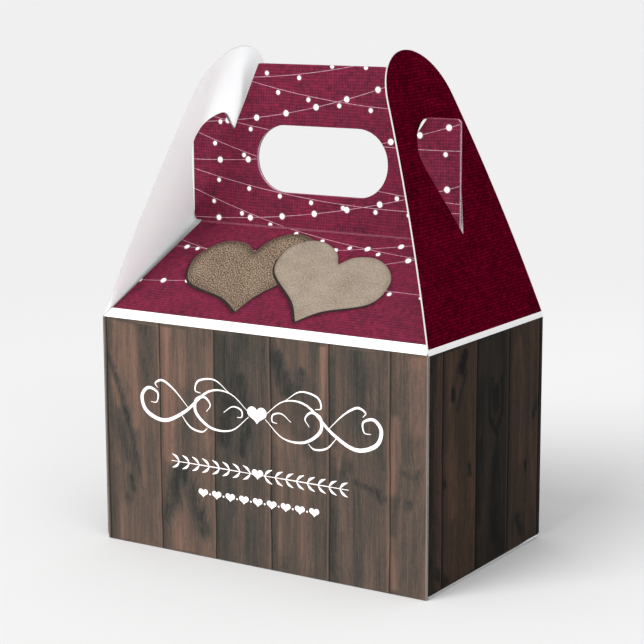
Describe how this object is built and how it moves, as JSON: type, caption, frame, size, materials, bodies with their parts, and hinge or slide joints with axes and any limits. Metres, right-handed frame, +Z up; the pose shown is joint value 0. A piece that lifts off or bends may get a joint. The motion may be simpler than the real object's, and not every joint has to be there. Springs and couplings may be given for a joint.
{
  "type": "gable favour box",
  "caption": "Folded card gable box with a sloping roof, an upright handle with a hand hole, side flaps slotted over the handle's ears, and a tuck-in bottom.",
  "frame": {"origin": "middle of the underside, on the surface the box stands on", "axes": "+X to the right across the front, +Y from front to back, +Z up"},
  "size_m": [0.1016, 0.0636, 0.1345],
  "materials": {
    "plank_print": "matte",
    "weave_print": "matte",
    "plain_card": "matte",
    "glue": "matte"
  },
  "bodies": {
    "walls": {"front_wall": "plank_print", "right_wall": "plank_print", "back_wall": "plank_print", "left_wall": "plank_print", "seam_tab": "plain_card", "seam_glue": "glue"},
    "front_roof": {"front_roof": "weave_print"},
    "back_roof": {"back_roof": "weave_print"},
    "front_handle": {"front_handle": "weave_print"},
    "back_handle": {"back_handle": "weave_print"},
    "right_gable_flap": {"right_gable_flap": "weave_print"},
    "left_gable_flap": {"left_gable_flap": "weave_print"},
    "bottom_panel": {"bottom_panel": "plain_card"},
    "tuck_flap": {"tuck_flap": "plain_card"},
    "right_dust_flap": {"right_dust_flap": "plain_card"},
    "left_dust_flap": {"left_dust_flap": "plain_card"}
  },
  "joints": [
    {"name": "front_roof_fold", "type": "hinge", "parent": "walls", "child": "front_roof", "pos_m": [0, -0.03175, 0.0625], "axis": [1, 0, 0], "range_deg": [0, 50]},
    {"name": "back_roof_fold", "type": "hinge", "parent": "walls", "child": "back_roof", "pos_m": [0, 0.03175, 0.0625], "axis": [-1, 0, 0], "range_deg": [0, 50]},
    {"name": "front_handle_fold", "type": "hinge", "parent": "front_roof", "child": "front_handle", "pos_m": [0, -0.00055, 0.0857], "axis": [-1, 0, 0], "range_deg": [0, 50]},
    {"name": "back_handle_fold", "type": "hinge", "parent": "back_roof", "child": "back_handle", "pos_m": [0, 0.00055, 0.0857], "axis": [1, 0, 0], "range_deg": [0, 50]},
    {"name": "right_gable_fold", "type": "hinge", "parent": "walls", "child": "right_gable_flap", "pos_m": [0.0508, 0, 0.0625], "axis": [0, 1, 0], "range_deg": [0, 110]},
    {"name": "left_gable_fold", "type": "hinge", "parent": "walls", "child": "left_gable_flap", "pos_m": [-0.0508, 0, 0.0625], "axis": [0, -1, 0], "range_deg": [0, 110]},
    {"name": "bottom_fold", "type": "hinge", "parent": "walls", "child": "bottom_panel", "pos_m": [0, 0.03175, 0], "axis": [1, 0, 0], "range_deg": [0, 95]},
    {"name": "tuck_fold", "type": "hinge", "parent": "bottom_panel", "child": "tuck_flap", "pos_m": [0, -0.0304, 0], "axis": [-1, 0, 0], "range_deg": [0, 28.5]},
    {"name": "right_dust_fold", "type": "hinge", "parent": "walls", "child": "right_dust_flap", "pos_m": [0.0501, 0, 0.0013], "axis": [0, 1, 0], "range_deg": [0, 85]},
    {"name": "left_dust_fold", "type": "hinge", "parent": "walls", "child": "left_dust_flap", "pos_m": [-0.0501, 0, 0.0013], "axis": [0, -1, 0], "range_deg": [0, 85]}
  ],
  "couplings": [
    {"joint": "back_roof_fold", "follows": "front_roof_fold", "ratio": 1},
    {"joint": "front_handle_fold", "follows": "front_roof_fold", "ratio": 1},
    {"joint": "back_handle_fold", "follows": "front_roof_fold", "ratio": 1},
    {"joint": "right_gable_fold", "follows": "front_roof_fold", "ratio": 2.2},
    {"joint": "left_gable_fold", "follows": "front_roof_fold", "ratio": 2.2},
    {"joint": "tuck_fold", "follows": "bottom_fold", "ratio": 0.3}
  ]
}
